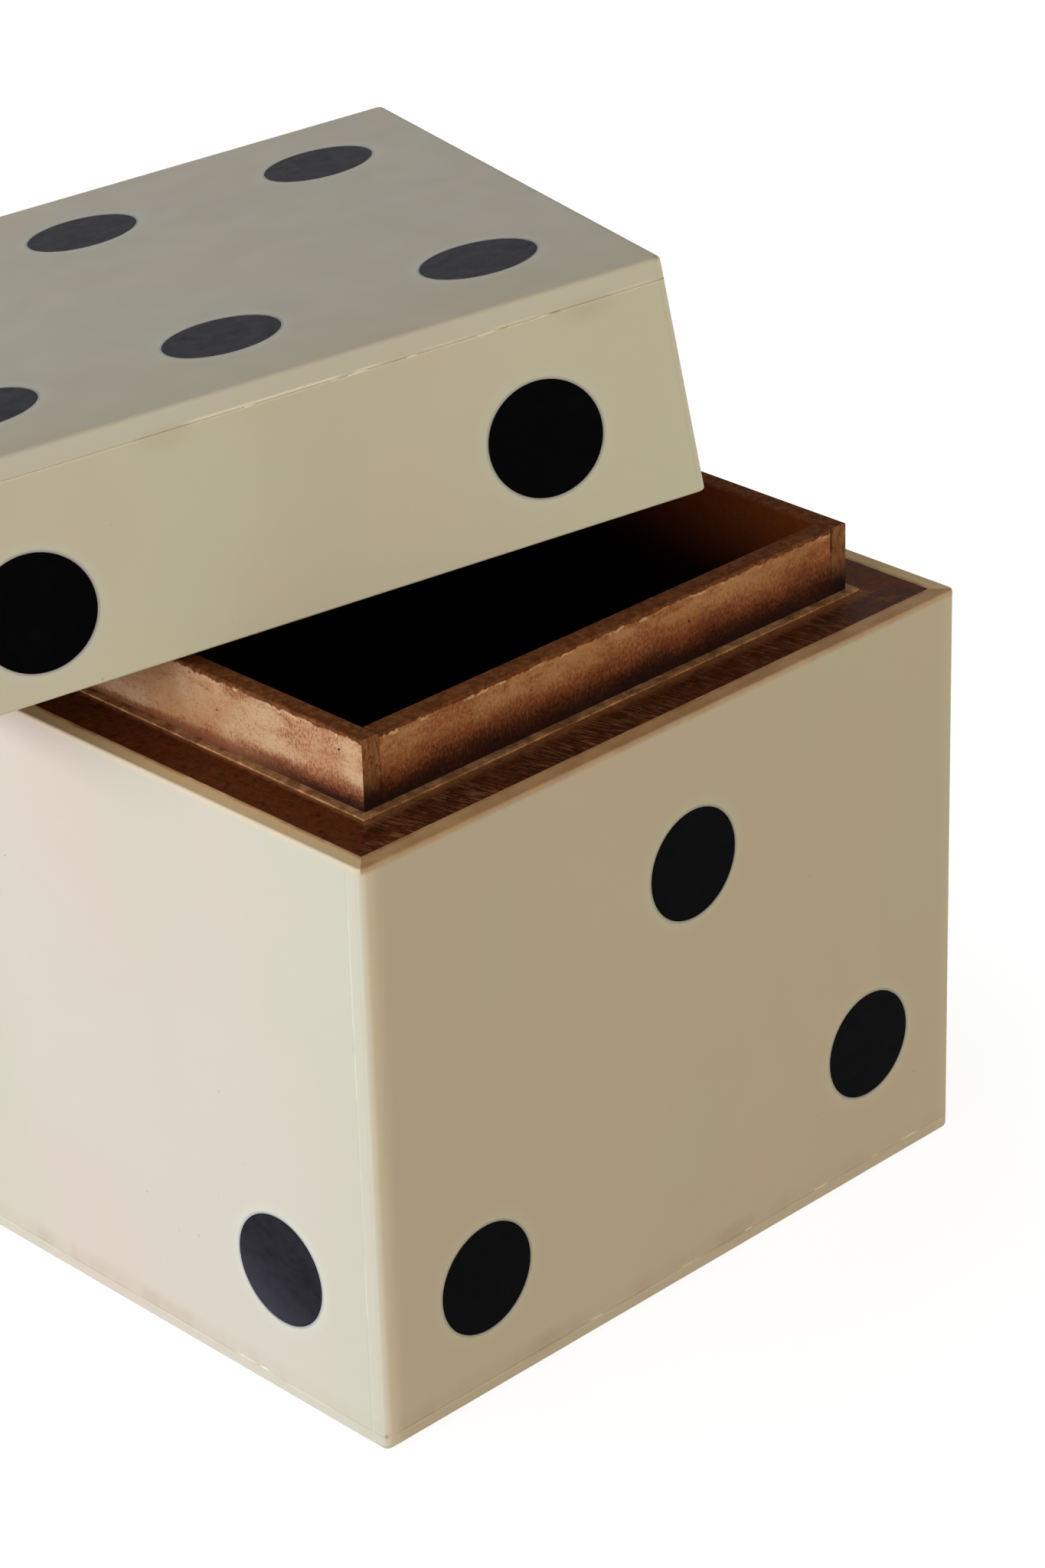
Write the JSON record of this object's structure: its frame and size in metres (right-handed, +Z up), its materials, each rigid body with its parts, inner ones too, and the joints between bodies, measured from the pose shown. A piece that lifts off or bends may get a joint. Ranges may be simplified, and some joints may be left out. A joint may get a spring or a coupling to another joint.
{
  "type": "dice box",
  "caption": "Square keepsake box shaped like a playing die, clad in cream resin with inlaid black pips, its loose lift-off lid lying askew across the base.",
  "frame": {"origin": "middle of the base's underside, on the surface that the box stands on", "axes": "+Z up, the face with five pips looks along -Y and the face with four pips along -X"},
  "size_m": [0.1658, 0.1828, 0.1565],
  "materials": {
    "resin_cladding": "hand-sanded cream cast resin, satin, tanned along its edges",
    "inlaid_pips": "black resin, satin, flush with the cladding",
    "stained_carcase": "dark brown stain, brushed on",
    "leafed_liner": "thin boards with worn copper leaf, bare brown edges",
    "bare_packing": "bare pale wood edge",
    "well_floor": "dark stained board"
  },
  "bodies": {
    "base": {"base_front_wall": "stained_carcase", "base_front_panel": "resin_cladding", "base_front_pips": "inlaid_pips", "liner_front": "leafed_liner", "packing_front": "bare_packing", "base_right_wall": "stained_carcase", "base_right_panel": "resin_cladding", "base_right_pips": "inlaid_pips", "liner_right": "leafed_liner", "packing_right": "bare_packing", "base_back_wall": "stained_carcase", "base_back_panel": "resin_cladding", "base_back_pips": "inlaid_pips", "liner_back": "leafed_liner", "packing_back": "bare_packing", "base_left_wall": "stained_carcase", "base_left_panel": "resin_cladding", "base_left_pips": "inlaid_pips", "liner_left": "leafed_liner", "packing_left": "bare_packing", "base_bottom_panel": "resin_cladding", "base_floor": "stained_carcase", "liner_floor": "well_floor"},
    "lid": {"lid_front_wall": "stained_carcase", "lid_front_panel": "resin_cladding", "lid_front_pips": "inlaid_pips", "lid_right_wall": "stained_carcase", "lid_right_panel": "resin_cladding", "lid_right_pips": "inlaid_pips", "lid_back_wall": "stained_carcase", "lid_back_panel": "resin_cladding", "lid_back_pips": "inlaid_pips", "lid_left_wall": "stained_carcase", "lid_left_panel": "resin_cladding", "lid_left_pips": "inlaid_pips", "lid_top_panel": "resin_cladding", "lid_top_pips": "inlaid_pips", "lid_top_board": "stained_carcase"}
  },
  "joints": [
    {"name": "lid_lift", "type": "slide", "parent": "base", "child": "lid", "axis": [0, 0, 1], "range_m": [0, 0.1]}
  ]
}
